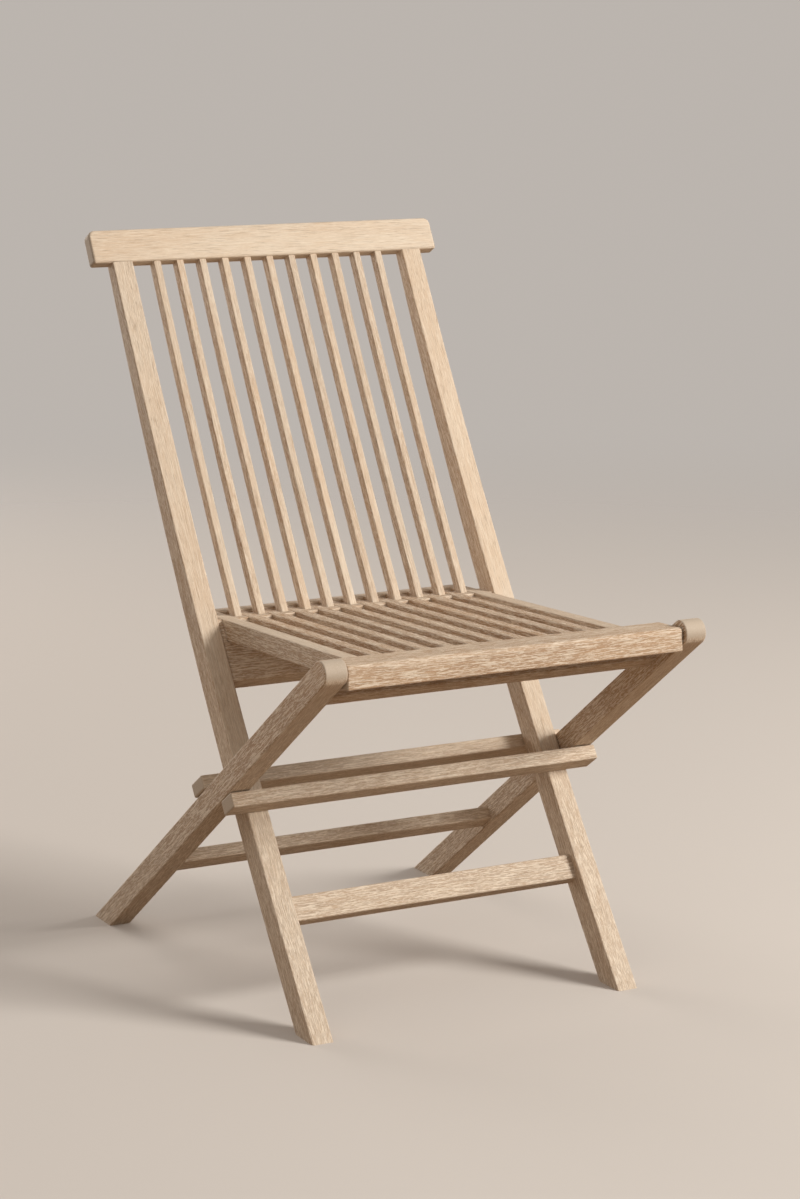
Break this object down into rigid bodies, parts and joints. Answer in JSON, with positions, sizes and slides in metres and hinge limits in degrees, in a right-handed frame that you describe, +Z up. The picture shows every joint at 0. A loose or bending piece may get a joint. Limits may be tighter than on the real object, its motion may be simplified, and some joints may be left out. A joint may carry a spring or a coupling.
{
  "type": "folding slatted chair",
  "caption": "Folding wooden garden chair without arms: a bowed slatted back, a slatted seat between its slats, and crossed rear legs that turn on hidden pins.",
  "frame": {"origin": "bottom centre of the open chair's box, on the floor", "axes": "+Z up, the chair faces -Y, +X is the sitter's left"},
  "size_m": [0.5088, 0.6851, 0.8976],
  "materials": {
    "teak": "weathered, oiled teak with a pale open grain",
    "hinge_pin": "dull brass rod"
  },
  "bodies": {
    "back_frame": {"back_slat_01": "teak", "back_slat_02": "teak", "back_slat_03": "teak", "back_slat_04": "teak", "back_slat_05": "teak", "back_slat_06": "teak", "back_slat_07": "teak", "back_slat_08": "teak", "back_slat_09": "teak", "back_slat_10": "teak", "back_slat_11": "teak", "crest_rail": "teak", "crossing_pins": "hinge_pin", "front_guide_bar": "teak", "front_stretcher": "teak", "left_stile": "teak", "lower_back_rail": "teak", "rear_guide_bar": "teak", "right_stile": "teak"},
    "leg_frame": {"cross_leg_stretcher": "teak", "cross_leg_top_rail": "teak", "left_cross_leg": "teak", "right_cross_leg": "teak"},
    "seat": {"left_seat_rail": "teak", "right_seat_rail": "teak", "seat_front_rail": "teak", "seat_pivot_pins": "hinge_pin", "seat_rear_rail": "teak", "seat_slat_01": "teak", "seat_slat_02": "teak", "seat_slat_03": "teak", "seat_slat_04": "teak", "seat_slat_05": "teak", "seat_slat_06": "teak", "seat_slat_07": "teak", "seat_slat_08": "teak", "seat_slat_09": "teak", "seat_slat_10": "teak"}
  },
  "joints": [
    {"name": "leg_fold", "type": "hinge", "parent": "back_frame", "child": "leg_frame", "pos_m": [0, -0.05228, 0.25194], "axis": [-1, 0, 0], "range_deg": [0, 72]},
    {"name": "seat_fold", "type": "hinge", "parent": "leg_frame", "child": "seat", "pos_m": [0, -0.32728, 0.4583], "axis": [1, 0, 0], "range_deg": [0, 118]}
  ],
  "couplings": [
    {"joint": "seat_fold", "follows": "leg_fold", "ratio": 1.63}
  ]
}
